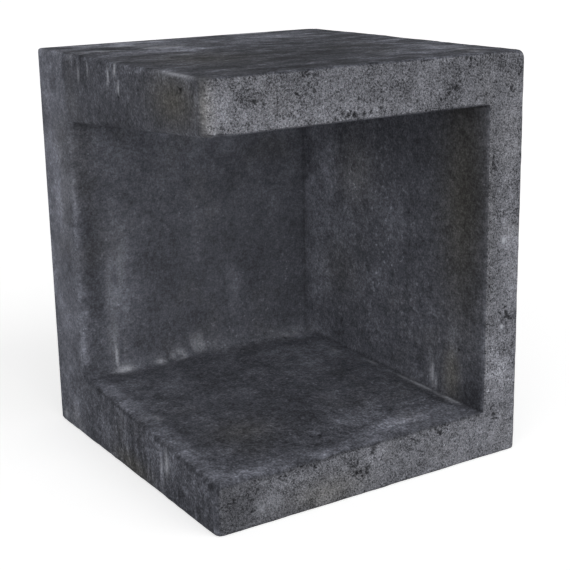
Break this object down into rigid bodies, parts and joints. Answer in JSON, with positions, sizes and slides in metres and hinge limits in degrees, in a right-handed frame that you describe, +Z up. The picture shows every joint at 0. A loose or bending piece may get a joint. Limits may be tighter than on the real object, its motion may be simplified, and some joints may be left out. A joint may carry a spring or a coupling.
{
  "type": "concrete retaining block",
  "caption": "Cast concrete U-shaped corner block for retaining walls, planters and seat edges: web, legs and end wall around a hollow open on two adjoining sides.",
  "frame": {"origin": "middle of the base, on the floor", "axes": "+Z up, +Y towards the outside of the web, +X towards the outside of the end wall; the leg tips face -Y and the open end faces -X"},
  "size_m": [0.43, 0.43, 0.5],
  "materials": {
    "concrete": "matte, cast anthracite-grey concrete with pores, lighter and rougher on the leg tips"
  },
  "bodies": {
    "root": {"retaining_block": "concrete"}
  },
  "joints": []
}
